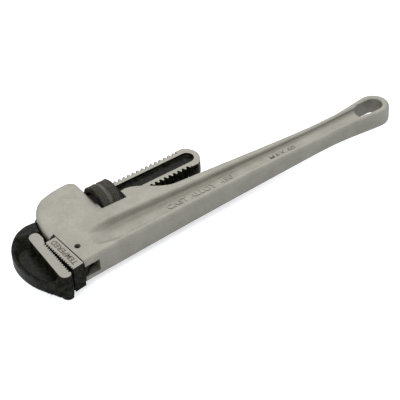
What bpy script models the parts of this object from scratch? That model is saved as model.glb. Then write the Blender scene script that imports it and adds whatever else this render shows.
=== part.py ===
"""Straight pipe wrench: cast handle, sliding hook jaw on a screw nut, pinned heel jaw and housing springs.

Shapes are written in millimetres in the wrench's own drawing frame: X runs from the jaws to the
hanging eye, Y from the heel jaw up to the housing's crown, Z is the thickness, and zero is the
corner where the heel jaw meets the handle, on the mid-plane. FRAME moves that drawing so that the
origin is the middle of the underside of the whole wrench.
"""

import math

import bmesh
import bpy
from mathutils import Vector

MM = 0.001
GAP = 0.3  # between pieces that touch on the real wrench

# Driving dimensions, in millimetres
HEAD_T = 24.5  # casting thickness at the housing
GRIP_T = 14.5  # thinnest part of the handle
EYE_T = 17.5
THICKNESS_STATIONS = ((46.0, HEAD_T), (270.0, GRIP_T), (312.0, EYE_T))
WEB_T = 10.0  # web between the two long recesses of the handle
EYE = (339.5, 19.5)
EYE_R = 15.5
SLOT_HALF = 8.7  # half-width of the hanging slot
SHANK_Y = 67.3  # screw axis, which is also the nut's and the rocking centre's
SHANK_T = 13.5
THREAD_R = 15.3
THREAD_DEPTH = 2.6
PITCH = 5.0
THREAD_X = (45.0, 150.0)
SHANK_END_X = 166.0
NUT_X = (51.7, 73.7)
NUT_R = 20.3
WINDOW_X = (50.0, 76.5)
WINDOW_R = 21.0
JAW_T = 27.0
TOOTH = 2.95
TOOTH_DEPTH = 1.3
PIN = (6.4, 21.3)
PIN_R = 2.0
TONGUE_T = 11.4
TONGUE_SLOT_T = 12.0
PASSAGE_T = 14.9  # housing passage and fork slot, across the shank's faces
COIL_X = 18.0

NUT_MID = ((NUT_X[0] + NUT_X[1]) / 2, SHANK_Y, 0.0)
LOW_X, HIGH_X = -45.0, EYE[0] + EYE_R
LOW_Y, HIGH_Y = -8.2, 101.0
FRAME = Vector((-(LOW_X + HIGH_X) / 2, -(LOW_Y + HIGH_Y) / 2, NUT_R))


def clear_scene():
    for obj in list(bpy.data.objects):
        bpy.data.objects.remove(obj)


def metal(name, color, roughness, metallic):
    mat = bpy.data.materials.new(name)
    mat.use_nodes = True
    shader = mat.node_tree.nodes["Principled BSDF"]
    shader.inputs["Base Color"].default_value = (*color, 1.0)
    shader.inputs["Roughness"].default_value = roughness
    shader.inputs["Metallic"].default_value = metallic
    return mat


def bezier(a, b, c, d, steps):
    """Points of a cubic curve from a to d, without the last one."""
    points = []
    for i in range(steps):
        t = i / steps
        k = ((1 - t) ** 3, 3 * (1 - t) ** 2 * t, 3 * (1 - t) * t * t, t**3)
        points.append(tuple(k[0] * a[j] + k[1] * b[j] + k[2] * c[j] + k[3] * d[j] for j in (0, 1)))
    return points


def arc(centre, radii, start, stop, steps):
    """Points of an elliptical arc, angles in degrees, both ends included."""
    points = []
    for i in range(steps + 1):
        a = math.radians(start + (stop - start) * i / steps)
        points.append((centre[0] + radii[0] * math.cos(a), centre[1] + radii[1] * math.sin(a)))
    return points


def loft(rings):
    """Closed solid through rings that have the same number of points."""
    bm = bmesh.new()
    loops = [[bm.verts.new(p) for p in ring] for ring in rings]
    count = len(rings[0])
    for low, high in zip(loops, loops[1:]):
        for i in range(count):
            j = (i + 1) % count
            bm.faces.new((low[i], low[j], high[j], high[i]))
    bm.faces.new(list(reversed(loops[0])))
    bm.faces.new(loops[-1])
    bmesh.ops.recalc_face_normals(bm, faces=bm.faces)
    return bm


def plate(outline, low, high):
    return loft([[(x, y, z) for x, y in outline] for z in (low, high)])


def solid(name, bm, root, material=None, origin=(0.0, 0.0, 0.0)):
    """Make an object from a bmesh drawn in millimetres, with its own origin on its joint axis."""
    bmesh.ops.translate(bm, verts=bm.verts, vec=-Vector(origin))
    bmesh.ops.scale(bm, verts=bm.verts, vec=(MM, MM, MM))
    mesh = bpy.data.meshes.new(name)
    bm.to_mesh(mesh)
    bm.free()
    obj = bpy.data.objects.new(name, mesh)
    bpy.context.scene.collection.objects.link(obj)
    obj.location = Vector(origin) * MM
    obj.parent = root
    if material:
        mesh.materials.append(material)
    return obj


def combine(obj, tool, operation):
    """Cut or join a tool solid, which is itself left out of the model."""
    tool.hide_render = True
    tool.display_type = "WIRE"
    mod = obj.modifiers.new(tool.name, "BOOLEAN")
    mod.object = tool
    mod.operation = operation
    mod.solver = "EXACT"


def round_edges(obj, width, segments):
    mod = obj.modifiers.new("edges", "BEVEL")
    mod.width = width * MM
    mod.segments = segments
    mod.limit_method = "ANGLE"
    mod.angle_limit = math.radians(50)


def box(low, high):
    corners = [(low[0], low[1]), (high[0], low[1]), (high[0], high[1]), (low[0], high[1])]
    return plate(corners, low[2], high[2])


def drum(centre, radius, low, high, sides, axis="Z"):
    """Cylinder along Z, or along Y when axis says so."""
    turns = [2 * math.pi * i / sides for i in range(sides)]
    ring = [(radius * math.cos(a), radius * math.sin(a)) for a in turns]
    if axis == "Y":
        return loft([[(centre[0] + a, y, centre[2] + b) for a, b in ring] for y in (low, high)])
    return plate([(centre[0] + a, centre[1] + b) for a, b in ring], low, high)


# ---- handle and housing casting ----


def casting_half_thickness(x):
    """Flat over the housing, thinning along the grip, thicker again at the eye."""
    stations = THICKNESS_STATIONS
    if x <= stations[0][0]:
        return HEAD_T / 2
    for (xa, ta), (xb, tb) in zip(stations, stations[1:]):
        if x <= xb:
            return (ta + (tb - ta) * (x - xa) / (xb - xa)) / 2
    return EYE_T / 2


def casting_outline():
    top, bottom = EYE[1] + EYE_R, EYE[1] - EYE_R
    seat = [(0.0, 0.3), (-2.6, 47.6), (-7.2, 45.4)]
    nose = bezier((-8.5, 47.0), (-8.4, 68.0), (-1.0, 89.0), (13.0, 96.0), 9)
    crown = bezier((13.0, 96.0), (19.0, 98.3), (30.0, HIGH_Y), (41.8, HIGH_Y), 5)
    shoulder = arc((41.8, 92.5), (8.5, 8.5), 90, 0, 4)
    fork = [(50.3, 60.0), (76.0, 62.0)]
    fork += bezier((81.0, 62.9), (97.0, 62.5), (107.0, 42.5), (124.0, 41.0), 8)
    far_edge = bezier((124.0, 41.0), (180.0, 37.2), (245.0, 32.0), (293.0, 31.3), 7)
    flare = bezier((293.0, 31.3), (310.0, 30.6), (322.0, 33.8), (EYE[0], top), 5)
    eye = arc(EYE, (EYE_R, EYE_R), 90, -90, 12)
    near_flare = bezier((EYE[0], bottom), (325.0, 4.8), (308.0, 9.5), (280.0, 9.5), 5)
    near_edge = bezier((280.0, 9.5), (200.0, 9.3), (90.0, 6.8), (0.0, 0.3), 9)
    return seat + nose + crown + shoulder + fork + far_edge + flare + eye + near_flare[1:] + near_edge


def recess_cutter(side):
    """One long recess of the handle's I section, on the +Z or -Z face, with drafted walls."""
    far = [(27.0, 31.0), (46.0, 34.8), (60.0, 34.4), (150.0, 30.3), (254.0, 27.0), (300.0, 25.2), (325.0, 27.0)]
    near = [(325.0, 12.0), (300.0, 13.6), (254.0, 14.6), (150.0, 13.4), (60.0, 10.8), (30.0, 10.4)]
    top = far + near
    draft = [(34.0, 27.5), (50.0, 31.0), (62.0, 31.0), (150.0, 28.2), (254.0, 26.4), (300.0, 24.6), (325.0, 26.4)]
    draft += [(325.0, 12.6), (300.0, 14.2), (254.0, 15.2), (150.0, 15.4), (62.0, 14.2), (35.0, 14.0)]
    floor, brim = side * WEB_T / 2, side * HEAD_T / 2
    flared = [(2 * t[0] - d[0], 2 * t[1] - d[1]) for t, d in zip(top, draft)]
    high = 2 * brim - floor
    return loft([[(x, y, floor) for x, y in draft], [(x, y, brim) for x, y in top], [(x, y, high) for x, y in flared]])


def hanging_slot():
    left, y0, y1 = 317.0, EYE[1] - SLOT_HALF, EYE[1] + SLOT_HALF
    outline = arc(EYE, (SLOT_HALF, SLOT_HALF), 90, -90, 10)
    outline += arc((left + 4.0, y0 + 4.0), (4.0, 4.0), -90, -180, 3)
    outline += arc((left + 4.0, y1 - 4.0), (4.0, 4.0), 180, 90, 3)
    return plate(outline, -HEAD_T, HEAD_T)


def nut_window():
    """Round-bottomed window, open at the top, that the nut turns in."""
    profile = arc((SHANK_Y, 0.0), (WINDOW_R, WINDOW_R), 270, 90, 14)
    profile += [(HIGH_Y + 20.0, WINDOW_R), (HIGH_Y + 20.0, -WINDOW_R)]
    return loft([[(x, y, z) for y, z in profile] for x in WINDOW_X])


def handle_housing(root, material):
    bm = plate(casting_outline(), -1.0, 1.0)
    for x, _ in THICKNESS_STATIONS:
        geom = bm.verts[:] + bm.edges[:] + bm.faces[:]
        bmesh.ops.bisect_plane(bm, geom=geom, dist=1e-5, plane_co=(x, 0, 0), plane_no=(1, 0, 0))
    for v in bm.verts:
        v.co.z *= casting_half_thickness(v.co.x)
    casting = solid("handle_housing", bm, root, material)
    round_edges(casting, 1.6, 2)
    passage_y = (SHANK_Y - THREAD_R - 0.7, 86.0)
    half = PASSAGE_T / 2
    cutters = {
        "recess_top": recess_cutter(1),
        "recess_bottom": recess_cutter(-1),
        "hanging_slot": hanging_slot(),
        "nut_window": nut_window(),
        "shank_passage": box((-30.0, passage_y[0], -half), (WINDOW_X[0] + 5.0, passage_y[1], half)),
        "spring_chamber": box((9.5, passage_y[1] - 2.0, -6.4), (46.0, 90.5, 6.4)),
        "coil_seat": drum((COIL_X, 0.0, 0.0), 5.2, 89.0, 93.1, 16, "Y"),
        "fork_slot": box((WINDOW_X[1] - 5.0, 46.0, -half), (140.0, 90.0, half)),
        "tongue_slot": box((-20.0, -20.0, -TONGUE_SLOT_T / 2), (16.0, 38.0, TONGUE_SLOT_T / 2)),
        "pin_hole": drum(PIN, PIN_R + 0.26, -HEAD_T, HEAD_T, 24),
    }
    for name, cutter in cutters.items():
        combine(casting, solid("cut_" + name, cutter, root), "DIFFERENCE")
    return casting


# ---- hook jaw: forged head and threaded shank in one piece ----


def shank_ring(z):
    """Section of the shank at height z: a threaded rod's two edges, with a round free end."""
    crest, valley = THREAD_R, THREAD_R - THREAD_DEPTH
    turn = PITCH * math.asin(z / crest) / (2 * math.pi)
    half = math.sqrt(crest * crest - z * z)
    teeth = int((THREAD_X[1] - THREAD_X[0]) / PITCH)
    upper, lower = [], []
    for i in range(teeth):
        x = THREAD_X[0] + i * PITCH
        for dx, r in ((0.0, valley), (1.1, crest), (2.3, crest), (3.4, valley)):
            h = math.sqrt(r * r - z * z)
            upper.append((x + dx + turn, SHANK_Y + h, z))
            lower.append((x + dx + PITCH / 2 - turn, SHANK_Y - h, z))
    plain = [(-20.0, SHANK_Y + half, z), (THREAD_X[0] - 1.6 + turn, SHANK_Y + half, z)]
    end_x = SHANK_END_X - half
    end = [(x, y, z) for x, y in arc((end_x, SHANK_Y), (half, half), 88, -80, 12)]
    low = [(THREAD_X[0] + PITCH / 2 - 1.6 - turn, SHANK_Y - half, z), (-20.0, SHANK_Y - half, z)]
    return plain + upper + end + lower[::-1] + low


def jaw_teeth(start, stop, side, count):
    """Tooth line from start to stop: crests on the line, roots TOOTH_DEPTH to the given side."""
    a, b = Vector(start), Vector(stop)
    along = (b - a) / count
    inward = Vector((along.y, -along.x)).normalized() * side * TOOTH_DEPTH
    points = []
    for i in range(count):
        points += [a + along * (i + 0.15), a + along * (i + 0.5) + inward, a + along * (i + 0.85)]
    return [tuple(p) for p in points]


def hook_head_outline():
    back = arc((-15.0, 38.0), (30.0, 43.0), 90, 180, 12) + arc((-17.0, 38.0), (28.0, 46.0), 180, 262, 11)[1:]
    behind_teeth = [(-18.6, -8.2), (-17.8, -6.0), (-17.8, 42.0)]
    throat = [(-13.2, 48.0), (-13.2, 53.0), (-10.5, 60.0), (-9.5, 72.0), (-10.5, 80.6)]
    return back + behind_teeth + throat


def hook_recess(side):
    """Hollow of the hook's I section, between its outer rim and the ground pad."""
    rim = bezier((-25.0, 61.5), (-41.0, 60.5), (-42.5, 14.0), (-31.2, -3.0), 10)
    outline = rim + [(-31.2, -3.0), (-27.0, -0.5), (-25.2, 30.0)]
    centre = Vector((-31.0, 32.0))
    small = [tuple(centre + (Vector(p) - centre) * 0.86) for p in outline]
    large = [tuple(centre + (Vector(p) - centre) * 1.14) for p in outline]
    floor, brim = side * 5.5, side * 11.0
    rings = ((small, floor), (outline, brim), (large, 2 * brim - floor))
    return loft([[(x, y, z) for x, y in ring] for ring, z in rings])


def hook_jaw(root, material):
    levels = [SHANK_T / 2 * k for k in (-1, -0.5, 0, 0.5, 1)]
    jaw = solid("hook_jaw", loft([shank_ring(z) for z in levels]), root, material, NUT_MID)
    head = solid("join_hook_head", plate(hook_head_outline(), -11.0, 11.0), root)
    pad_outline = arc((-20.6, 50.0), (3.0, 8.6), 180, 60, 4) + [(-12.9, 53.0), (-12.9, 48.0)]
    pad_outline += jaw_teeth((-15.0, 41.0), (-16.0, -4.0), 1, 15) + arc((-20.8, -3.5), (4.6, 4.5), 0, -180, 6)
    pad = solid("join_ground_pad", plate(pad_outline, -JAW_T / 2, JAW_T / 2), root)
    combine(jaw, head, "UNION")
    combine(jaw, pad, "UNION")
    for side in (1, -1):
        combine(jaw, solid("cut_hook_recess_%d" % side, hook_recess(side), root), "DIFFERENCE")
        slot = arc((153.5, SHANK_Y), (7.25, 7.25), -90, 90, 8) + arc((69.0, SHANK_Y), (7.25, 7.25), 90, 270, 8)
        zs = sorted((side * (SHANK_T / 2 - 3.3), side * 12.0))
        combine(jaw, solid("cut_shank_recess_%d" % side, plate(slot, *zs), root), "DIFFERENCE")
    return jaw


# ---- nut with an internal thread ----


def thread_rod(x0, x1, crest, valley, crest_half, root_half, sides):
    """Closed helical rod, cut square at both ends; its thread matches the shank's."""
    bm = bmesh.new()
    middle = 1.7  # from the start of a turn to the middle of its crest
    columns = []
    first, last = math.floor((x0 - THREAD_X[0]) / PITCH) - 2, math.ceil((x1 - THREAD_X[0]) / PITCH) + 2
    for k in range(sides + 1):
        a = 2 * math.pi * k / sides
        column = []
        for turn in range(first, last):
            x = THREAD_X[0] + (turn + k / sides) * PITCH + middle
            for dx, r in ((-root_half, valley), (-crest_half, crest), (crest_half, crest), (root_half, valley)):
                column.append((x + dx, SHANK_Y + r * math.cos(a), r * math.sin(a)))
        columns.append(column)
    for left, right in zip(columns, columns[1:]):
        for i in range(len(left) - 1):
            bm.faces.new([bm.verts.new(p) for p in (left[i], left[i + 1], right[i + 1], right[i])])
    bmesh.ops.remove_doubles(bm, verts=bm.verts, dist=1e-4)
    for x, normal in ((x0, -1), (x1, 1)):
        geom = bm.verts[:] + bm.edges[:] + bm.faces[:]
        bmesh.ops.bisect_plane(
            bm, geom=geom, dist=1e-5, plane_co=(x, 0, 0), plane_no=(normal, 0, 0), clear_outer=True
        )
    for x in (x0, x1):
        rim = [e for e in bm.edges if e.is_boundary and abs(e.verts[0].co.x - x) < 0.01]
        bmesh.ops.contextual_create(bm, geom=rim)
    bmesh.ops.recalc_face_normals(bm, faces=bm.faces)
    return bm


def adjusting_nut(root, material):
    a, b = NUT_X
    groove = (60.5, 64.5)
    profile = [(a, NUT_R - 1.0), (a + 1.0, NUT_R), (groove[0], NUT_R), (groove[0] + 0.6, NUT_R - 1.2)]
    profile += [(groove[1] - 0.6, NUT_R - 1.2), (groove[1], NUT_R), (b - 1.0, NUT_R), (b, NUT_R - 1.0)]
    nut = solid("adjusting_nut", loft([ring_about_x(x, r, 48) for x, r in profile]), root, material, NUT_MID)
    crest, valley = THREAD_R + GAP, THREAD_R - THREAD_DEPTH + GAP + 0.05
    slope = 1.1 / THREAD_DEPTH
    crest_half = 0.6 - slope * GAP + 0.35
    root_half = 0.6 + slope * (THREAD_R - valley) + 0.35
    rod = thread_rod(a - 2, b + 2, crest, valley, crest_half, root_half, 24)
    combine(nut, solid("cut_nut_thread", rod, root), "DIFFERENCE")
    return nut


# ---- heel jaw, its pin, and the springs in the housing ----


def heel_jaw(root, material):
    outline = jaw_teeth((-14.6, 41.8), (-12.8, -2.5), -1, 15) + [(-12.8, -2.5), (-0.9, -1.1), (-3.0, 42.2)]
    jaw = solid("heel_jaw", plate(outline, -JAW_T / 2, JAW_T / 2), root, material)
    tongue_outline = [(-6.0, 1.5), (13.0, 1.5), (15.4, 4.0), (15.4, 32.0), (12.0, 36.5), (-6.0, 36.5)]
    tongue = solid("join_tongue", plate(tongue_outline, -TONGUE_T / 2, TONGUE_T / 2), root)
    combine(jaw, tongue, "UNION")
    combine(jaw, solid("cut_tongue_hole", drum(PIN, PIN_R + 0.3, -TONGUE_T, TONGUE_T, 24), root), "DIFFERENCE")
    return jaw


def heel_jaw_pin(root, material):
    """Rolled spring pin, a split tube, a little below the casting's faces."""
    length = 19.0
    outer = arc((0.0, 0.0), (PIN_R - 0.05, PIN_R - 0.05), 15, 345, 20)
    inner = arc((0.0, 0.0), (1.25, 1.25), 345, 15, 20)
    outline = [(PIN[0] + x, PIN[1] + y) for x, y in outer + inner]
    return solid("heel_jaw_pin", plate(outline, -length / 2, length / 2), root, material)


def flat_spring(root, material):
    """Leaf that lies along the back of the shank, arched so that only its middle bears."""
    thickness, bend, crown_x = 0.8, 0.0032, 20.0
    bottom = [(x, SHANK_Y + THREAD_R + GAP + bend * (x - crown_x) ** 2) for x in (11, 15, 20, 25, 32, 39, 45)]
    top = [(x, y + thickness) for x, y in reversed(bottom)]
    leaf = solid("flat_spring", plate(bottom + top, -5.5, 5.5), root, material, NUT_MID)
    combine(leaf, solid("cut_rivet_hole", drum((COIL_X, 0, 0), 1.5, 80.0, 90.0, 16, "Y"), root), "DIFFERENCE")
    return leaf


def spring_rivet(root, material):
    """Rivet through the leaf; its domed head centres the coil spring."""
    foot = SHANK_Y + THREAD_R + GAP
    profile = [(foot + 0.1, 1.2), (foot + 1.1, 1.2), (foot + 1.1, 2.5), (foot + 1.9, 2.3), (foot + 2.4, 1.4)]
    rings = [ring_about_y(y, r, 20) for y, r in profile]
    return solid("spring_rivet", loft(rings), root, material, NUT_MID)


def ring_about_x(x, r, sides):
    turn = 2 * math.pi / sides
    return [(x, SHANK_Y + r * math.cos(k * turn), r * math.sin(k * turn)) for k in range(sides)]


def ring_about_y(y, r, sides):
    turn = 2 * math.pi / sides
    return [(COIL_X + r * math.cos(k * turn), y, r * math.sin(k * turn)) for k in range(sides)]


def coil_spring(root, material):
    """Round-wire coil between the leaf and the roof of the housing."""
    wire, coil_r, turns, per_turn = 0.55, 3.6, 5, 14
    low = SHANK_Y + THREAD_R + 2 * GAP + 0.9 + wire
    high = 93.1 - GAP - wire
    rings = []
    for i in range(turns * per_turn + 1):
        a = 2 * math.pi * i / per_turn
        y = low + (high - low) * i / (turns * per_turn)
        radial = Vector((math.cos(a), 0.0, math.sin(a)))
        centre = Vector((COIL_X, y, 0.0)) + radial * coil_r
        ring = []
        for k in range(8):
            b = 2 * math.pi * k / 8
            ring.append(centre + radial * wire * math.cos(b) + Vector((0.0, wire * math.sin(b), 0.0)))
        rings.append(ring)
    return solid("coil_spring", loft(rings), root, material)


def build():
    clear_scene()
    root = bpy.data.objects.new("wrench_origin", None)
    bpy.context.scene.collection.objects.link(root)
    root.location = FRAME * MM
    cast = metal("bead_blasted_aluminium", (0.42, 0.41, 0.35), 0.55, 0.7)
    black = metal("black_oxide_steel", (0.02, 0.02, 0.018), 0.5, 0.6)
    ground = metal("ground_steel", (0.42, 0.41, 0.39), 0.4, 0.9)
    spring = metal("spring_steel", (0.12, 0.12, 0.13), 0.35, 0.9)
    handle_housing(root, cast)
    hook_jaw(root, black)
    heel_jaw(root, ground)
    heel_jaw_pin(root, spring)
    adjusting_nut(root, black)
    flat_spring(root, spring)
    coil_spring(root, spring)
    spring_rivet(root, spring)


build()
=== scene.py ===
import math

import bmesh
import bpy
from mathutils import Matrix, Vector
from mathutils.geometry import interpolate_bezier


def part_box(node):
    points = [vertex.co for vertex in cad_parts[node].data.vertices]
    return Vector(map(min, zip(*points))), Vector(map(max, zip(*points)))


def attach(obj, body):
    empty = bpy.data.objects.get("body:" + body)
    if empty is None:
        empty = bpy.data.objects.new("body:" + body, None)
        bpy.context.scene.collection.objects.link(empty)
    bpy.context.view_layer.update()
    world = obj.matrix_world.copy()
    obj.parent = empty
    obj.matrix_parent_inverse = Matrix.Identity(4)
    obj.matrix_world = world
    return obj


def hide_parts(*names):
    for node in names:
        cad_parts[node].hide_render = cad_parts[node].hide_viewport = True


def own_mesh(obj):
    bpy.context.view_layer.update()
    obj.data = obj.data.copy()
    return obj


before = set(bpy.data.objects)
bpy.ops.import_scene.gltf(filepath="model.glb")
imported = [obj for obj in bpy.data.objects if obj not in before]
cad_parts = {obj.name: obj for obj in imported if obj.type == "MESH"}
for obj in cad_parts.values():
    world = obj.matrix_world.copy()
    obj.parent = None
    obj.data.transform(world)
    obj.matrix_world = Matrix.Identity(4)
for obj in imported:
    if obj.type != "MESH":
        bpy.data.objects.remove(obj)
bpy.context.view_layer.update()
print("frame loaded")

# The drawing is in millimetres: X from the heel jaw to the eye, Y towards the screw, Z from the mid-plane.
drawing = {"eyeEndX": 355.0, "screwY": 67.3, "pitch": 5.0}
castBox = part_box("handle_housing")
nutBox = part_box("adjusting_nut")
zeroPoint = Vector((
    castBox[1][0] - drawing["eyeEndX"] / 1000,
    (nutBox[0][1] + nutBox[1][1]) / 2 - drawing["screwY"] / 1000,
    (nutBox[0][2] + nutBox[1][2]) / 2,
))


# every bmesh is in drawing millimetres until placePiece
def traceOutline(start, moves, steps=8):
    # a move is a point, or three points for a curve, or (centre, radius, from, to) in degrees for an arc
    points = [Vector(start)]
    for move in moves:
        if len(move) == 2:
            points.append(Vector(move))
        elif len(move) == 3:
            run = interpolate_bezier(*[Vector((*p, 0)) for p in (points[-1], *move)], steps + 1)
            points += [p.xy for p in run[1:]]
        else:
            centre, radius, first, last = move
            for i in range(steps + 1):
                a = math.radians(first + (last - first) * i / steps)
                points.append(Vector(centre) + radius * Vector((math.cos(a), math.sin(a))))
    kept = [p for i, p in enumerate(points) if (p - points[i - 1]).length > 0.01]
    return kept


def drawRing(bm, outline, z):
    verts = [bm.verts.new((p[0], p[1], z)) for p in outline]
    return [bm.edges.new((verts[i - 1], v)) for i, v in enumerate(verts)]


def extrudePlate(outline, low, high):
    bm = bmesh.new()
    ring = drawRing(bm, outline, low)
    face = bmesh.ops.contextual_create(bm, geom=ring)["faces"]
    grown = bmesh.ops.extrude_face_region(bm, geom=face, use_keep_orig=True)["geom"]
    top = [v for v in grown if isinstance(v, bmesh.types.BMVert)]
    bmesh.ops.translate(bm, vec=(0, 0, high - low), verts=top)
    bmesh.ops.recalc_face_normals(bm, faces=bm.faces)
    return bm


def bridgeRings(rings):
    # rings of (outline, z) with the same number of points, closed at both ends
    bm = bmesh.new()
    drawn = [drawRing(bm, outline, z) for outline, z in rings]
    for low, high in zip(drawn, drawn[1:]):
        bmesh.ops.bridge_loops(bm, edges=low + high)
    for end in (drawn[0], drawn[-1]):
        bmesh.ops.contextual_create(bm, geom=end)
    bmesh.ops.recalc_face_normals(bm, faces=bm.faces)
    return bm


def turnBar(centre, radius, low, high, axis="Z", sides=48):
    bm = bmesh.new()
    bmesh.ops.create_cone(
        bm, cap_ends=True, segments=sides, radius1=radius, radius2=radius, depth=high - low
    )
    turn = Matrix.Rotation(math.pi / 2, 4, "Y") if axis == "X" else Matrix()
    middle = Vector(centre)
    middle["XYZ".index(axis)] = (low + high) / 2
    bmesh.ops.transform(bm, matrix=Matrix.Translation(middle) @ turn, verts=bm.verts)
    return bm


def holdTemporary(bm, name):
    mesh = bpy.data.meshes.new(name)
    bm.to_mesh(mesh)
    bm.free()
    held = bpy.data.objects.new(name, mesh)
    bpy.context.scene.collection.objects.link(held)
    return held


def runModifiers(bm, steps, tools=()):
    # steps are (modifier type, settings); an object or target is given as its place in tools
    held = holdTemporary(bm, "work")
    helpers = [holdTemporary(tool, "tool") for tool in tools]
    for kind, settings in steps:
        mod = held.modifiers.new(kind.lower(), kind)
        for key, value in settings.items():
            setattr(mod, key, helpers[value] if key in ("object", "target") else value)
    ready = held.evaluated_get(bpy.context.evaluated_depsgraph_get())
    result = bmesh.new()
    result.from_mesh(ready.to_mesh())
    ready.to_mesh_clear()
    for obj in [held, *helpers]:
        mesh = obj.data
        bpy.data.objects.remove(obj)
        bpy.data.meshes.remove(mesh)
    return result


def cutAway(bm, tools, operation="DIFFERENCE"):
    shared = {"operation": operation, "solver": "MANIFOLD"}
    return runModifiers(bm, [("BOOLEAN", {"object": i, **shared}) for i in range(len(tools))], tools)


def castSkin(bm, voxel, rounds):
    # one even skin over the whole casting or forging, drawn back onto the shape and then eased
    steps = [
        ("REMESH", {"mode": "VOXEL", "voxel_size": voxel, "adaptivity": 0.0}),
        ("SHRINKWRAP", {"target": 0, "wrap_method": "NEAREST_SURFACEPOINT"}),
        ("SMOOTH", {"factor": 0.5, "iterations": rounds}),
    ]
    return runModifiers(bm, steps, [bm.copy()])


def offsetOutline(outline, distance):
    # outwards by distance when the outline runs clockwise
    moved = []
    for i, p in enumerate(outline):
        along = (outline[(i + 1) % len(outline)] - outline[i - 1]).normalized()
        moved.append(p + Vector((-along.y, along.x)) * distance)
    return moved


def easeStep(value, start, stop):
    # 0 at start and 1 at stop, level at both ends
    t = min(1, max(0, (value - start) / (stop - start)))
    return t * t * (3 - 2 * t)


def isRunning(e):
    # along the outline, not through the thickness
    return abs(e.verts[0].co.z - e.verts[1].co.z) < 0.1


def easeEdges(bm, width, segments, pick=None, sharpest=40):
    edges = [e for e in bm.edges if len(e.link_faces) == 2 and e.calc_face_angle(0) > math.radians(sharpest)]
    if pick:
        edges = [e for e in edges if pick(e)]
    bmesh.ops.bevel(
        bm, geom=edges, offset=width, offset_type="OFFSET", segments=segments, profile=0.5,
        affect="EDGES", material=-1, clamp_overlap=True,
    )


def placePiece(name, bm, mats, body, stands=(), sharp=35):
    bmesh.ops.scale(bm, vec=(0.001, 0.001, 0.001), verts=bm.verts)
    bmesh.ops.translate(bm, vec=zeroPoint, verts=bm.verts)
    mesh = bpy.data.meshes.new(name)
    bm.to_mesh(mesh)
    bm.free()
    for mat in mats:
        mesh.materials.append(mat)
    mesh.shade_smooth()
    if sharp:
        mesh.set_sharp_from_angle(angle=math.radians(sharp))
    piece = bpy.data.objects.new(name, mesh)
    bpy.context.scene.collection.objects.link(piece)
    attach(piece, body)
    if stands:
        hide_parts(*stands)
    print("made", name, len(mesh.polygons), "faces")
    return piece


def hexColour(code):
    # sRGB hex to the linear values that the shader wants
    parts = [int(code[i:i + 2], 16) / 255 for i in (0, 2, 4)]
    return (*[c / 12.92 if c <= 0.04045 else ((c + 0.055) / 1.055) ** 2.4 for c in parts], 1.0)


def addNode(mat, kind, inputs=None, **settings):
    node = mat.node_tree.nodes.new(kind)
    for key, value in settings.items():
        setattr(node, key, value)
    for key, value in (inputs or {}).items():
        if isinstance(value, tuple) and isinstance(value[0], bpy.types.Node):
            mat.node_tree.links.new(value[0].outputs[value[1]], node.inputs[key])
        else:
            node.inputs[key].default_value = value
    return node


def newFinish(name, metallic):
    mat = bpy.data.materials.new(name)
    mat.use_nodes = True
    shader = mat.node_tree.nodes["Principled BSDF"]
    shader.inputs["Metallic"].default_value = metallic
    place = addNode(mat, "ShaderNodeTexCoord")
    return mat, shader, place


def perMetre(millimetres):
    return 1000.0 / millimetres


def mixBetween(mat, factor, dark, light, span=(0.3, 0.7)):
    ramp = addNode(mat, "ShaderNodeValToRGB", {"Fac": factor})
    for stop, at, colour in zip(ramp.color_ramp.elements, span, (dark, light)):
        stop.position = at
        stop.color = colour
    return ramp


aluminiumLook = {
    "metallic": 0.75, "light": "929087", "dark": "727068", "cloudMm": 16.0, "grainMm": 1.1,
    "grainShare": 0.65, "rough": (0.45, 0.65), "bump": 0.7, "bumpMm": 0.22,
}


def beadBlastedAluminium():
    # sand cast, then bead blasted: even warm grey with a matte grain and faint clouding; the grain is
    # drawn coarser than the real 0.2 mm so that it shows
    look = aluminiumLook
    mat, shader, place = newFinish("bead blasted cast aluminium", look["metallic"])
    cloud = addNode(mat, "ShaderNodeTexNoise", {
        "Vector": (place, "Object"), "Scale": perMetre(look["cloudMm"]), "Detail": 3.0, "Roughness": 0.6,
    })
    grain = addNode(mat, "ShaderNodeTexNoise", {
        "Vector": (place, "Object"), "Scale": perMetre(look["grainMm"]), "Detail": 4.0, "Roughness": 0.75,
    })
    both = addNode(mat, "ShaderNodeMix", {
        "Factor": look["grainShare"], "A": (cloud, "Fac"), "B": (grain, "Fac"),
    })
    colour = mixBetween(mat, (both, "Result"), hexColour(look["dark"]), hexColour(look["light"]))
    low, high = look["rough"]
    rough = addNode(mat, "ShaderNodeMapRange", {"Value": (grain, "Fac"), "To Min": low, "To Max": high})
    bump = addNode(mat, "ShaderNodeBump", {
        "Height": (grain, "Fac"), "Strength": look["bump"], "Distance": look["bumpMm"] / 1000,
    })
    links = mat.node_tree.links
    links.new(colour.outputs["Color"], shader.inputs["Base Color"])
    links.new(rough.outputs["Result"], shader.inputs["Roughness"])
    links.new(bump.outputs["Normal"], shader.inputs["Normal"])
    return mat


forgedLook = {
    "dark": "030302", "light": "26271F", "gloss": 0.05, "patchMm": 4.0, "speckMm": 0.9,
    "ramp": (0.19, 0.40), "rough": (0.24, 0.5), "bump": 0.8, "bumpMm": 0.25,
}


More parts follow.
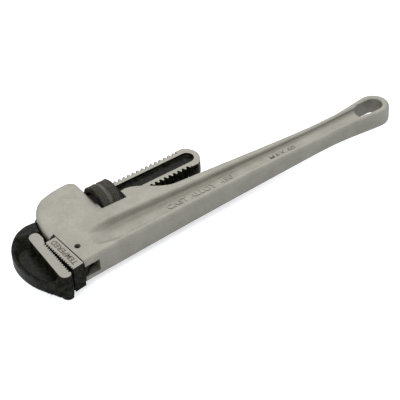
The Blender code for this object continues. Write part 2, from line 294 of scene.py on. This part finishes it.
def blackForgedSteel():
    # drop forged, then black oxide: the scale of the die leaves rough warm black speckle and paler patches
    look = forgedLook
    mat, shader, place = newFinish("black oxide forged steel", 0.0)
    patch = addNode(mat, "ShaderNodeTexNoise", {
        "Vector": (place, "Object"), "Scale": perMetre(look["patchMm"]), "Detail": 3.0, "Roughness": 0.6,
    })
    speck = addNode(mat, "ShaderNodeTexNoise", {
        "Vector": (place, "Object"), "Scale": perMetre(look["speckMm"]), "Detail": 3.0, "Roughness": 0.7,
    })
    both = addNode(mat, "ShaderNodeMath", {0: (patch, "Fac"), 1: (speck, "Fac")}, operation="MULTIPLY")
    colour = mixBetween(mat, (both, "Value"), hexColour(look["dark"]), hexColour(look["light"]), look["ramp"])
    low, high = look["rough"]
    rough = addNode(mat, "ShaderNodeMapRange", {"Value": (speck, "Fac"), "To Min": low, "To Max": high})
    bump = addNode(mat, "ShaderNodeBump", {
        "Height": (both, "Value"), "Strength": look["bump"], "Distance": look["bumpMm"] / 1000,
    })
    links = mat.node_tree.links
    links.new(colour.outputs["Color"], shader.inputs["Base Color"])
    links.new(rough.outputs["Result"], shader.inputs["Roughness"])
    links.new(bump.outputs["Normal"], shader.inputs["Normal"])
    shader.inputs["Specular IOR Level"].default_value = look["gloss"]
    return mat


groundLook = {
    "metallic": 0.9, "light": "7E7C75", "dark": "6B6962", "strokeMm": 0.35, "stretch": 0.06, "turned": 20,
    "rough": (0.38, 0.5),
}


def groundSteel():
    # surface ground: fine straight wheel marks along one way
    look = groundLook
    mat, shader, place = newFinish("surface ground steel", look["metallic"])
    stretch = addNode(mat, "ShaderNodeMapping", {
        "Vector": (place, "Object"), "Scale": (look["stretch"], 1.0, 1.0),
        "Rotation": (0.0, 0.0, math.radians(look["turned"])),
    })
    strokes = addNode(mat, "ShaderNodeTexNoise", {
        "Vector": (stretch, "Vector"), "Scale": perMetre(look["strokeMm"]), "Detail": 2.0, "Roughness": 0.6,
    })
    colour = mixBetween(mat, (strokes, "Fac"), hexColour(look["dark"]), hexColour(look["light"]))
    low, high = look["rough"]
    rough = addNode(mat, "ShaderNodeMapRange", {"Value": (strokes, "Fac"), "To Min": low, "To Max": high})
    links = mat.node_tree.links
    links.new(colour.outputs["Color"], shader.inputs["Base Color"])
    links.new(rough.outputs["Result"], shader.inputs["Roughness"])
    return mat


turnedLook = {
    "metallic": 0.3, "groove": "080807", "crest": "76736A", "stain": "33281A", "stainMm": 7.0, "grainMm": 0.5,
    "gloss": 0.15, "stainFrom": 0.5, "stainTo": 0.58, "stainMost": 0.75, "rough": (0.35, 0.6),
}


def blackenedTurnedSteel():
    # turned and knurled, then blackened in oil: black grooves, crests worn grey, brown patches from handling;
    # the attribute also carries painted shade, black on the nut's end faces
    look = turnedLook
    mat, shader, place = newFinish("blackened turned steel", look["metallic"])
    shader.inputs["Specular IOR Level"].default_value = look["gloss"]
    worn = addNode(mat, "ShaderNodeAttribute", attribute_name="worn")
    grey = addNode(mat, "ShaderNodeMix", {
        "Factor": (worn, "Fac"), "A": hexColour(look["groove"]), "B": hexColour(look["crest"]),
    }, data_type="RGBA")
    stain = addNode(mat, "ShaderNodeTexNoise", {
        "Vector": (place, "Object"), "Scale": perMetre(look["stainMm"]), "Detail": 3.0, "Distortion": 0.6,
    })
    where = addNode(mat, "ShaderNodeMapRange", {
        "Value": (stain, "Fac"), "From Min": look["stainFrom"], "From Max": look["stainTo"],
        "To Max": look["stainMost"],
    })
    colour = addNode(mat, "ShaderNodeMix", {
        "Factor": (where, "Result"), "A": (grey, "Result"), "B": hexColour(look["stain"]),
    }, data_type="RGBA")
    grain = addNode(mat, "ShaderNodeTexNoise", {
        "Vector": (place, "Object"), "Scale": perMetre(look["grainMm"]), "Detail": 3.0,
    })
    low, high = look["rough"]
    rough = addNode(mat, "ShaderNodeMapRange", {"Value": (grain, "Fac"), "To Min": low, "To Max": high})
    links = mat.node_tree.links
    links.new(colour.outputs["Result"], shader.inputs["Base Color"])
    links.new(rough.outputs["Result"], shader.inputs["Roughness"])
    return mat


springLook = {"metallic": 0.9, "light": "6E6C66", "dark": "4A4844", "patchMm": 2.0, "rough": (0.3, 0.45)}


def temperedSpringSteel():
    # hard drawn and blued in the tempering oven: dark, smooth, slightly uneven
    look = springLook
    mat, shader, place = newFinish("tempered spring steel", look["metallic"])
    patch = addNode(mat, "ShaderNodeTexNoise", {
        "Vector": (place, "Object"), "Scale": perMetre(look["patchMm"]), "Detail": 3.0,
    })
    colour = mixBetween(mat, (patch, "Fac"), hexColour(look["dark"]), hexColour(look["light"]))
    low, high = look["rough"]
    rough = addNode(mat, "ShaderNodeMapRange", {"Value": (patch, "Fac"), "To Min": low, "To Max": high})
    mat.node_tree.links.new(colour.outputs["Color"], shader.inputs["Base Color"])
    mat.node_tree.links.new(rough.outputs["Result"], shader.inputs["Roughness"])
    return mat


def markFinish(name, light, dark, grainMm, metallic):
    # a thin dark layer, thinner where the grain of the metal stands up through it
    mat, shader, place = newFinish(name, metallic)
    patch = addNode(mat, "ShaderNodeTexNoise", {
        "Vector": (place, "Object"), "Scale": perMetre(grainMm), "Detail": 3.0,
    })
    colour = mixBetween(mat, (patch, "Fac"), hexColour(dark), hexColour(light))
    mat.node_tree.links.new(colour.outputs["Color"], shader.inputs["Base Color"])
    shader.inputs["Roughness"].default_value = 0.6
    return mat


castAluminium = beadBlastedAluminium()
blackSteel = blackForgedSteel()
brightSteel = groundSteel()
turnedSteel = blackenedTurnedSteel()
springSteel = temperedSpringSteel()
printInk = markFinish("black ink print on cast aluminium", "5C5B55", "45443F", 0.8, 0.1)
etchedBrown = markFinish("laser etched ground steel", "54463A", "2E2620", 0.6, 0.0)
print("finishes made")


# handle and housing, one casting
casting = {
    "thickness": ((46.0, 24.5), (180.0, 20.4), (270.0, 15.9), (312.0, 17.5)),
    "edge": 3.0, "web": 10.0, "eye": (339.5, 19.5), "eyeRadius": 15.5, "slotHalf": 8.7, "slotFrom": 319.8,
    "windowX": (50.0, 76.5), "windowRadius": 21.0, "passage": 14.9,
    "tongueSlot": 12.0, "pin": (6.4, 21.3), "pinHole": 2.85,
    "voxel": 0.9, "smoothing": 4,
}


def castHalfThickness(x):
    stations = casting["thickness"]
    if x <= stations[0][0]:
        return stations[0][1] / 2
    for (xa, ta), (xb, tb) in zip(stations, stations[1:]):
        if x <= xb:
            return (ta + (tb - ta) * (x - xa) / (xb - xa)) / 2
    return stations[-1][1] / 2


def castingOutline():
    eyeX, eyeY = casting["eye"]
    r = casting["eyeRadius"]
    return traceOutline((-8.5, -0.2), [
        (-8.5, 47.0),
        ((-8.4, 68.0), (-1.0, 89.0), (13.0, 96.0)),
        ((19.0, 98.3), (30.0, 101.0), (41.8, 101.0)),
        ((46.5, 101.0), (50.3, 97.2), (50.3, 92.5)),
        (50.3, 60.0), (76.0, 62.0), (81.0, 62.9),
        ((97.0, 62.5), (107.0, 42.5), (124.0, 41.0)),
        ((180.0, 37.2), (245.0, 32.0), (293.0, 31.3)),
        ((310.0, 30.6), (322.0, 33.8), (eyeX, eyeY + r)),
        ((eyeX, eyeY), r, 80, -80),
        (eyeX, eyeY - r),
        ((325.0, 4.8), (308.0, 8.9), (280.0, 8.8)),
        ((200.0, 8.4), (90.0, 5.9), (0.0, 0.3)),
    ], steps=12)


def longRecess(side):
    # the hollow of the I section: drafted walls, a floor that ramps up behind the housing, open into the eye
    low, high = casting["web"] / 2, casting["thickness"][0][1] / 2
    brim = traceOutline((23.0, 29.6), [
        ((30.0, 33.2), (36.0, 34.9), (48.0, 34.8)), ((80.0, 34.0), (120.0, 31.5), (150.0, 30.3)),
        ((200.0, 28.6), (260.0, 25.4), (326.0, 26.5)), (326.0, 12.0),
        ((290.0, 12.6), (250.0, 14.6), (200.0, 14.0)), ((150.0, 13.0), (90.0, 10.5), (40.0, 9.0)),
        ((34.0, 9.2), (26.0, 10.5), (20.0, 14.0)), (23.0, 29.6),
    ], steps=10)
    floor = traceOutline((44.0, 28.6), [
        ((46.0, 30.2), (50.0, 31.2), (56.0, 31.2)), ((84.0, 30.8), (120.0, 29.2), (150.0, 28.2)),
        ((200.0, 27.4), (260.0, 24.9), (326.0, 26.0)), (326.0, 12.5),
        ((290.0, 13.2), (250.0, 15.6), (200.0, 15.4)), ((150.0, 14.8), (90.0, 13.2), (58.0, 12.2)),
        ((52.0, 12.2), (46.0, 13.2), (42.0, 15.6)), (44.0, 28.6),
    ], steps=10)
    foot = [f.lerp(b, 0.15) for f, b in zip(floor, brim)]
    rings = [
        (offsetOutline(floor, -1.6), low), (offsetOutline(floor, -0.6), low + 0.3), (foot, low + 1.2),
        ([f.lerp(b, 0.86) for f, b in zip(floor, brim)], high - 1.0), (offsetOutline(brim, 0.5), high - 0.2),
        (offsetOutline(brim, 1.6), high + 0.05), (offsetOutline(brim, 2.0), high + 6),
    ]
    bm = bridgeRings([(outline, side * z) for outline, z in rings])
    for v in bm.verts:
        rise = (castHalfThickness(v.co.x) - low) / (high - low)
        v.co.z = side * (low + (abs(v.co.z) - low) * rise)
    return bm


def hangingSlot():
    eyeX, eyeY = casting["eye"]
    h = casting["slotHalf"]
    outline = traceOutline((eyeX, eyeY + h), [
        ((eyeX, eyeY), h, 90, -90), ((casting["slotFrom"] + h, eyeY), h, -90, -270),
    ], steps=16)
    return extrudePlate(outline, -30, 30)


def nutWindow():
    r = casting["windowRadius"]
    a, b = casting["windowX"]
    bm = turnBar((0, drawing["screwY"], 0), r, a, b, "X", 128)
    above = extrudePlate([(a, drawing["screwY"]), (b, drawing["screwY"]), (b, 130), (a, 130)], -r, r)
    return cutAway(bm, [above], operation="UNION")


def slab(low, high):
    corners = [(low[0], low[1]), (high[0], low[1]), (high[0], high[1]), (low[0], high[1])]
    return extrudePlate(corners, low[2], high[2])


def castHandle():
    full = casting["thickness"][0][1] / 2
    bm = extrudePlate(castingOutline(), -full, full)
    easeEdges(bm, casting["edge"], 6, pick=isRunning)
    for x, _ in casting["thickness"]:
        bmesh.ops.bisect_plane(
            bm, geom=bm.verts[:] + bm.edges[:] + bm.faces[:], dist=0.001,
            plane_co=(x, 0, 0), plane_no=(1, 0, 0),
        )
    for v in bm.verts:
        v.co.z *= castHalfThickness(v.co.x) / full
    bm = cutAway(bm, [longRecess(1), longRecess(-1), hangingSlot()])
    bm = castSkin(bm, casting["voxel"], casting["smoothing"])
    half = casting["passage"] / 2
    t = casting["tongueSlot"] / 2
    screw = drawing["screwY"]
    seat = [(-30, -20), (1.6, -20), (0.5, 0.3), (-2.1, 47.6), (-7.2, 45.4), (-30, 45.4)]
    tools = [
        extrudePlate(seat, -20, 20),
        nutWindow(),
        slab((-30, screw - 16, -half), (60, 86, half)),  # the way for the shank
        slab((9.5, 84, -6.4), (46, 90.5, 6.4)),  # room for the leaf
        slab((70, 46, -half), (140, 90, half)),  # between the fork's arms
        slab((-20, -20, -t), (16, 38, t)),  # for the heel jaw's tongue
        turnBar((*casting["pin"], 0), casting["pinHole"], -20, 20),
    ]
    return cutAway(bm, tools)


placePiece(
    "handle_casting", castHandle(), [castAluminium], "handle", ["handle_housing"], sharp=50
)


# hook jaw: the forging, its ground tooth pad and the threaded shank are one solid
hook = {
    "half": 11.5, "tipHalf": 13.3, "tipFrom": 9.0, "tipTo": -3.0, "rim": 5.0,
    "rimFrom": -25.0, "rimTo": -43.0, "rimThinner": 0.22,
    "web": 12.4, "deepen": 3.0, "floorX": (-41.6, -25.6),
    "shankHalf": 6.75, "shankEnd": 166.0, "neck": (-14.0, 34.0), "voxel": 0.8, "smoothing": 8,
    "threadEnds": (44.0, 151.0), "pocket": (69.0, 153.5, 7.25), "pocketDepth": 3.3,
}
teeth = {"count": 15, "depth": 1.65, "half": 13.5, "edge": 0.1}
thread = {"firstTooth": 46.7, "crest": 15.3, "root": 12.7, "crestHalf": 0.6, "rootHalf": 1.7, "ease": 0.18}


def jawTeeth(first, last, side):
    # crests on the line from first to last, roots to one side of it
    a, b = Vector(first), Vector(last)
    step = (b - a) / teeth["count"]
    root = Vector((step.y, -step.x)).normalized() * side * teeth["depth"]
    points = []
    for i in range(teeth["count"]):
        for along, deep in ((0.2, 0.0), (0.5, 1.0), (0.8, 0.0)):
            points.append(tuple(a + step * (i + along) + root * deep))
    return points


def hookOutline():
    return traceOutline((-4.8, 75.8), [
        (-14.0, 76.4),
        ((-30.0, 75.4), (-45.0, 60.5), (-45.0, 38.0)),
        ((-45.0, 14.0), (-33.5, -8.0), (-16.4, -8.1)),
        (-17.8, 2.0), (-17.8, 42.0), (-13.2, 48.0), (-13.2, 53.0), (-10.0, 55.0), (-8.4, 66.0),
    ], steps=14)


def hookRecess(side):
    # the hollow between rim and pad: steep below the rim, soft towards the neck, deepest along the pad
    brim = traceOutline((-19.0, 59.0), [
        ((-22.0, 62.0), (-26.0, 64.4), (-30.5, 64.0)), ((-38.5, 63.4), (-44.0, 50.0), (-44.0, 35.0)),
        ((-44.0, 18.0), (-39.4, 3.6), (-33.4, -1.6)), ((-31.4, -3.4), (-28.8, -3.0), (-26.6, -1.0)),
        (-19.0, 2.0),
    ])
    floor = traceOutline((-19.0, 50.0), [
        ((-22.0, 52.6), (-26.0, 54.4), (-30.0, 53.8)), ((-36.5, 52.6), (-41.6, 45.0), (-41.6, 35.0)),
        ((-41.6, 20.0), (-37.0, 8.6), (-32.0, 3.0)), ((-30.2, 1.2), (-28.4, 1.2), (-26.4, 2.0)),
        (-19.0, 4.0),
    ])
    flare = [2 * b - f for f, b in zip(floor, brim)]
    low, high = hook["web"] / 2, hook["half"]
    start, stop = hook["floorX"]
    bm = bridgeRings([(floor, side * low), (brim, side * high), (flare, side * (2 * high - low))])
    for v in bm.verts:
        if abs(v.co.z) < low + 0.1:
            v.co.z -= side * hook["deepen"] * (v.co.x - start) / (stop - start)
    return bm


def throatRecess(side):
    low = hook["shankHalf"] - 0.5
    outline = traceOutline((-20.0, 49.0), [
        (-2.0, 49.0), (-2.0, 60.5), ((-9.0, 60.0), (-15.0, 59.0), (-20.0, 55.0)),
    ])
    return extrudePlate(outline, *sorted((side * low, side * 20)))


def threadProfile(crest, root, crestHalf, rootHalf, ease):
    # one tooth as (along the axis, radius), its four corners each eased into two points
    half = []
    for a, b in (((rootHalf, root), (crestHalf, crest)), ((crestHalf, crest), (rootHalf, root))):
        half.append(Vector(a).lerp(Vector(b), ease))
    outer = [(rootHalf + ease, root), tuple(half[0]), tuple(half[1]), (crestHalf - ease, crest)]
    return [(-x, r) for x, r in outer] + outer[::-1]


def threadedRod(first, last, profile, sides=96):
    # a profile of teeth wound one turn about the screw axis, each turn one pitch further on
    pitch = drawing["pitch"]
    bm = bmesh.new()
    start = math.floor((first - thread["firstTooth"]) / pitch) - 2
    count = math.ceil((last - first) / pitch) + 4
    run = []
    for i in range(start, start + count):
        middle = thread["firstTooth"] + i * pitch
        run += [bm.verts.new((middle + x, drawing["screwY"] + r, 0)) for x, r in profile]
    edges = [bm.edges.new(pair) for pair in zip(run, run[1:])]
    bmesh.ops.spin(
        bm, geom=run + edges, cent=(0, drawing["screwY"], 0), axis=(1, 0, 0),
        dvec=(pitch / sides, 0, 0), angle=math.tau, steps=sides,
    )
    bmesh.ops.remove_doubles(bm, verts=bm.verts, dist=0.002)
    for x, way in ((first, -1), (last, 1)):
        bmesh.ops.bisect_plane(
            bm, geom=bm.verts[:] + bm.edges[:] + bm.faces[:], dist=0.0005,
            plane_co=(x, 0, 0), plane_no=(way, 0, 0), clear_outer=True,
        )
        rim = [e for e in bm.edges if e.is_boundary and all(abs(v.co.x - x) < 0.002 for v in e.verts)]
        bmesh.ops.contextual_create(bm, geom=rim)
    bmesh.ops.recalc_face_normals(bm, faces=bm.faces)
    return bm


def stadium(a, b, radius):
    y = drawing["screwY"]
    return traceOutline((b, y - radius), [((b, y), radius, -90, 90), ((a, y), radius, 90, 270)], steps=24)


def shankPocket(side):
    a, b, r = hook["pocket"]
    floor = hook["shankHalf"] - hook["pocketDepth"]
    rings = ((r - 1.0, floor), (r - 0.3, floor + 0.7), (r, hook["shankHalf"]), (r, 12.0))
    return bridgeRings([(stadium(a, b, radius), side * z) for radius, z in rings])


def threadedShank():
    y, r = drawing["screwY"], thread["crest"]
    a, b = hook["threadEnds"]
    profile = threadProfile(r, thread["root"], thread["crestHalf"], thread["rootHalf"], thread["ease"])
    rod = threadedRod(a, b, profile)
    plain = turnBar((0, y, 0), r, hook["neck"][1] - 12, a + 0.6, "X", 96)
    tip = turnBar((0, y, 0), r, b - 0.6, hook["shankEnd"] + 5, "X", 96)
    bm = cutAway(rod, [plain, tip], operation="UNION")
    half = hook["shankHalf"]
    end = hook["shankEnd"] - r
    side = traceOutline((end, y - r), [((end, y), r, -90, 90), (0, y + r), (0, y - r)], steps=32)
    wide = [Vector((p.x, y + (p.y - y) * 1.02)) if p.x <= end else p for p in side]
    bm = cutAway(bm, [extrudePlate(wide, -half, half)], operation="INTERSECT")
    return cutAway(bm, [shankPocket(1), shankPocket(-1)])


def toothPad():
    outline = traceOutline((-26.1, -2.0), [
        ((-26.0, -5.2), (-23.6, -8.1), (-20.6, -8.1)), ((-18.4, -8.1), (-16.8, -7.6), (-15.9, -4.4)),
    ], steps=8)
    outline += [Vector(p) for p in reversed(jawTeeth((-15.2, 41.0), (-16.5, -4.0), 1))]
    outline += traceOutline((-12.5, 47.9), [
        (-12.6, 52.9), ((-12.6, 56.4), (-14.4, 58.4), (-17.4, 58.4)),
        ((-20.9, 58.4), (-23.1, 56.4), (-23.4, 52.0)),
    ], steps=8)
    bm = extrudePlate(outline, -teeth["half"], teeth["half"])
    easeEdges(bm, teeth["edge"], 1, pick=isRunning)
    return bm


def onRim(e):
    # the outer back of the hook, from the top of the neck round to the tip
    return isRunning(e) and all(v.co.y > 75.5 or v.co.y < -7.9 or v.co.x < -18 for v in e.verts)


def hookForging():
    bm = extrudePlate(hookOutline(), -hook["half"], hook["half"])
    easeEdges(bm, hook["rim"], 6, pick=onRim)
    y, r, half = drawing["screwY"], thread["crest"], hook["shankHalf"]
    neck = turnBar((0, y, 0), r, *hook["neck"], "X", 96)
    side = [(-15, y - r - 1), (40, y - r - 1), (40, y + r + 1), (0, y + r + 1), (-5, 77.5), (-15, 75)]
    neck = cutAway(neck, [extrudePlate(side, -half, half)], operation="INTERSECT")
    bm = cutAway(bm, [neck], operation="UNION")
    hollows = [hookRecess(1), hookRecess(-1), throatRecess(1), throatRecess(-1)]
    bm = cutAway(bm, hollows)
    bm = castSkin(bm, hook["voxel"], hook["smoothing"])
    for v in bm.verts:
        v.co.z *= 1 + (hook["tipHalf"] / hook["half"] - 1) * easeStep(v.co.y, hook["tipFrom"], hook["tipTo"])
        v.co.z *= 1 - hook["rimThinner"] * easeStep(v.co.x, hook["rimFrom"], hook["rimTo"])
    return bm


def markGround(bm, levels, index):
    # flat faces at a ground level take the bright finish
    for face in bm.faces:
        z = abs(face.calc_center_median().z)
        if abs(face.normal.z) > 0.6 and any(abs(z - level) < 0.12 and test(face) for level, test in levels):
            face.material_index = index


def makeHookJaw():
    bm = cutAway(hookForging(), [toothPad(), threadedShank()], operation="UNION")
    bm.normal_update()
    levels = ((teeth["half"], lambda f: True),
              (hook["shankHalf"], lambda f: f.calc_center_median().x > hook["neck"][1] - 12))
    markGround(bm, levels, 1)
    return bm


placePiece(
    "hook_jaw_forging", makeHookJaw(), [blackSteel, brightSteel], "hook_jaw", ["hook_jaw"], 30
)


# the knurl is a little coarser than real, so that it shows
nut = {
    "ends": (51.9, 72.7), "radius": 20.1, "groove": (60.2, 64.2), "grooveRadius": 18.7, "chamfer": 0.9,
    "knurlsRound": 60, "knurlDepth": 0.8, "innerThread": (15.6, 13.05, 0.823, 1.902),
    "wornCrest": 2.2, "wornGroove": 0.42, "boreHalf": 12.0,
}


def knurlNut():
    a, b = nut["ends"]
    y, r, c = drawing["screwY"], nut["radius"], nut["chamfer"]
    low, high = nut["groove"]
    pitch = math.tau * r / nut["knurlsRound"]
    bm = bmesh.new()
    profile = [(a, nut["boreHalf"]), (a, r - c)]
    for start, stop in ((a + c, low), (high, b - c)):
        rows = round((stop - start) / (pitch / 4))
        profile += [(start + (stop - start) * i / rows, r) for i in range(rows + 1)]
        if stop == low:
            profile += [(low + 0.3, nut["grooveRadius"] + 0.3), (low + 0.7, nut["grooveRadius"]),
                        (high - 0.7, nut["grooveRadius"]), (high - 0.3, nut["grooveRadius"] + 0.3)]
    profile += [(b, r - c), (b, nut["boreHalf"])]
    ring = [bm.verts.new((x, y + radius, 0)) for x, radius in profile]
    edges = [bm.edges.new((ring[i - 1], v)) for i, v in enumerate(ring)]
    bmesh.ops.spin(bm, geom=ring + edges, cent=(0, y, 0), axis=(1, 0, 0), angle=math.tau,
                   steps=nut["knurlsRound"] * 4, use_merge=True)
    bmesh.ops.remove_doubles(bm, verts=bm.verts, dist=0.0005)
    bmesh.ops.recalc_face_normals(bm, faces=bm.faces)
    crest, root, crestHalf, rootHalf = nut["innerThread"]
    profile = threadProfile(crest, root, crestHalf, rootHalf, thread["ease"])
    bm = cutAway(bm, [threadedRod(a - 2, b + 2, profile)])
    worn = bm.verts.layers.float.new("worn")
    for v in bm.verts:
        out = Vector((0, v.co.y - y, v.co.z))
        # painted shade: the end faces and chamfers get 0, the black of the grooves, standing in for the shade
        # that falls on them; the bore is black too
        dark = v.co.x < a + c or v.co.x > b - c or out.length < nut["grooveRadius"] - 0.1
        v[worn] = 0.0 if dark else nut["wornGroove"]
        inBand = a + c + 0.1 < v.co.x < low - 0.1 or high + 0.1 < v.co.x < b - c - 0.1
        if inBand and out.length > r - 0.01:
            turn = math.atan2(out.z, out.y) / math.tau * nut["knurlsRound"]
            along = v.co.x / pitch
            height = min(1 - abs(2 * ((turn + along) % 1) - 1), 1 - abs(2 * ((turn - along) % 1) - 1))
            v[worn] = 0.02 + 0.98 * height ** nut["wornCrest"]
            v.co -= out.normalized() * nut["knurlDepth"] * (1 - height)
    return bm


placePiece("knurled_nut", knurlNut(), [turnedSteel], "nut", ["adjusting_nut"], 30)


heel = {"tongueHalf": 5.7, "hole": 2.3, "edge": 0.3}


def makeHeelJaw():
    outline = [Vector(p) for p in jawTeeth((-14.6, 41.8), (-12.8, -2.5), -1)]
    outline += [Vector((-12.4, -2.5)), Vector((-1.2, -1.1)), Vector((-3.3, 42.2))]
    bm = extrudePlate(outline, -teeth["half"], teeth["half"])
    easeEdges(bm, teeth["edge"], 1, pick=isRunning)
    tongue = extrudePlate(
        [(-6.0, 1.5), (3.0, 1.5), (9.5, 7.5), (15.4, 11.0), (15.4, 32.0), (12.0, 36.5), (-6.0, 36.5)],
        -heel["tongueHalf"], heel["tongueHalf"],
    )
    easeEdges(tongue, heel["edge"], 2)
    bm = cutAway(bm, [tongue], operation="UNION")
    bm = cutAway(bm, [turnBar((*casting["pin"], 0), heel["hole"], -20, 20)])
    bm.normal_update()
    markGround(bm, ((teeth["half"], lambda f: True),), 1)
    return bm


placePiece(
    "heel_jaw_block", makeHeelJaw(), [blackSteel, brightSteel], "handle", ["heel_jaw"], 30
)


# raised casting marks, a dark printed mark and an etched one, all plain words and sizes:
# (words, x, y, letter size, degrees turned)
marks = {
    "raised": (("CAST ALLOY", 127.0, 20.9, 8.6, 0.0), ("450", 166.0, 20.4, 8.6, 0.0)),
    "printed": (("MAX 60", 229.0, 18.6, 8.0, 0.0),),
    "etched": (("TEMPERED", -7.2, 20.6, 7.6, 92.0),),
}


def writeMark(words, x, y, size, turned, low, high, heavy, spread):
    data = bpy.data.curves.new("mark", "FONT")
    data.body = words
    data.size = size
    data.align_x = "CENTER"
    data.align_y = "CENTER"
    data.offset = heavy
    data.space_character = spread
    data.resolution_u = 4
    data.extrude = (high - low) / 2
    held = bpy.data.objects.new("mark", data)
    bpy.context.scene.collection.objects.link(held)
    bm = bmesh.new()
    bm.from_mesh(held.evaluated_get(bpy.context.evaluated_depsgraph_get()).to_mesh())
    bpy.data.objects.remove(held)
    bpy.data.curves.remove(data)
    bmesh.ops.remove_doubles(bm, verts=bm.verts, dist=0.0001)
    place = Matrix.Translation((x, y, (low + high) / 2)) @ Matrix.Rotation(math.radians(turned), 4, "Z")
    bmesh.ops.transform(bm, matrix=place, verts=bm.verts)
    return bm


def joinShapes(shapes):
    whole = bmesh.new()
    for bm in shapes:
        mesh = bpy.data.meshes.new("part")
        bm.to_mesh(mesh)
        bm.free()
        whole.from_mesh(mesh)
        bpy.data.meshes.remove(mesh)
    return whole


def markSet(kind, low, high, heavy, spread):
    return joinShapes([writeMark(words, x, y, size, turned, low, high, heavy, spread)
                       for words, x, y, size, turned in marks[kind]])


web = casting["web"] / 2
placePiece("raised_marks", markSet("raised", web - 0.2, web + 0.45, 0.12, 1.08), [castAluminium], "handle",
           sharp=30)
placePiece("printed_mark", markSet("printed", web - 0.1, web + 0.1, 0.14, 1.08), [printInk], "handle",
           sharp=30)
face = teeth["half"]
placePiece("etched_mark", markSet("etched", face - 0.05, face + 0.02, 0.24, 1.04), [etchedBrown], "handle",
           sharp=30)


# the coil between the leaf and the roof of the housing
coil = {
    "x": 18.0, "radius": 3.6, "wire": 0.55, "turns": 5, "low": 84.65, "high": 92.25, "sides": 36,
    "keep": 0.78,
}


def windCoil():
    steps = coil["turns"] * coil["sides"]
    bm = bmesh.new()
    section = bmesh.ops.create_circle(bm, segments=12, radius=coil["wire"])["verts"]
    bmesh.ops.translate(bm, vec=(coil["x"] + coil["radius"], coil["low"], 0), verts=section)
    bmesh.ops.spin(
        bm, geom=section + bm.edges[:], cent=(coil["x"], 0, 0), axis=(0, 1, 0),
        dvec=(0, (coil["high"] - coil["low"]) / steps, 0), angle=math.tau * coil["turns"], steps=steps,
    )
    bmesh.ops.remove_doubles(bm, verts=bm.verts, dist=0.0005)
    bmesh.ops.holes_fill(bm, edges=[e for e in bm.edges if e.is_boundary], sides=0)
    bmesh.ops.recalc_face_normals(bm, faces=bm.faces)
    return bm


spring = placePiece(
    "housing_coil_spring", windCoil(), [springSteel], "handle", ["coil_spring"], 60
)
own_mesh(spring)

carriedOver = {"heel_jaw_pin": blackSteel, "flat_spring": springSteel, "spring_rivet": springSteel}
for name, finish in carriedOver.items():
    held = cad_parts[name]
    held.data.materials.clear()
    held.data.materials.append(finish)
print("springs and pin ready")


camera = {
    "at": (-427.24, -855.2, 895.5), "azimuth": -32.7265, "elevation": 40.8285, "roll": -3.797, "lens": 135.8,
}
studio = {
    "floorHalf": 4.0, "floorDrop": 0.0005, "paper": "E6E8EC", "glow": 0.5, "sky": 1.25,
    "softboxes": (  # name, place, size, watts
        ("overhead", (0.75, 1.2, 1.3), (1.6, 1.2), 13),
        ("left", (-1.15, -0.6, 1.2), (0.45, 0.45), 8),
    ),
}


def setCamera():
    a, e, r = (math.radians(camera[k]) for k in ("azimuth", "elevation", "roll"))
    back = Vector((math.sin(a) * math.cos(e), -math.cos(a) * math.cos(e), math.sin(e)))
    right = (-back).cross(Vector((0, 0, 1))).normalized()
    up = right.cross(-back)
    turned = (math.cos(r) * right + math.sin(r) * up, -math.sin(r) * right + math.cos(r) * up, back)
    data = bpy.data.cameras.new("camera")
    data.lens = camera["lens"]
    data.sensor_width = 36.0
    data.clip_end = 20.0
    eye = bpy.data.objects.new("camera", data)
    bpy.context.scene.collection.objects.link(eye)
    spot = zeroPoint + Vector(camera["at"]) / 1000
    eye.matrix_world = Matrix.Translation(spot) @ Matrix(turned).transposed().to_4x4()
    bpy.context.scene.camera = eye


def addSoftbox(name, spot, size, power):
    data = bpy.data.lights.new(name, "AREA")
    data.shape = "RECTANGLE"
    data.size, data.size_y = size
    data.energy = power
    lamp = bpy.data.objects.new(name, data)
    bpy.context.scene.collection.objects.link(lamp)
    lamp.location = spot
    lamp.rotation_euler = (-Vector(spot)).to_track_quat("-Z", "Y").to_euler()


def buildStudio():
    bm = bmesh.new()
    bmesh.ops.create_grid(bm, x_segments=2, y_segments=2, size=studio["floorHalf"])
    mesh = bpy.data.meshes.new("floor")
    bm.to_mesh(mesh)
    bm.free()
    floor = bpy.data.objects.new("floor", mesh)
    bpy.context.scene.collection.objects.link(floor)
    floor.location.z = -studio["floorDrop"]
    mat, shader, _ = newFinish("white studio paper", 0.0)
    shader.inputs["Base Color"].default_value = hexColour(studio["paper"])
    # only the camera sees the glow, so the paper reads pure white and throws no more light up
    seen = addNode(mat, "ShaderNodeLightPath")
    glow = addNode(mat, "ShaderNodeMath", {
        0: (seen, "Is Camera Ray"), 1: studio["glow"],
    }, operation="MULTIPLY")
    mat.node_tree.links.new(glow.outputs["Value"], shader.inputs["Emission Strength"])
    shader.inputs["Emission Color"].default_value = hexColour("FFFFFF")
    shader.inputs["Roughness"].default_value = 0.9
    mesh.materials.append(mat)
    world = bpy.data.worlds.new("studio")
    world.use_nodes = True
    sky = world.node_tree.nodes["Background"]
    sky.inputs["Color"].default_value = hexColour("FFFFFF")
    sky.inputs["Strength"].default_value = studio["sky"]
    bpy.context.scene.world = world
    for name, spot, size, power in studio["softboxes"]:
        addSoftbox(name, spot, size, power)
    bpy.context.scene.view_settings.view_transform = "Standard"


setCamera()
buildStudio()
print("studio ready")
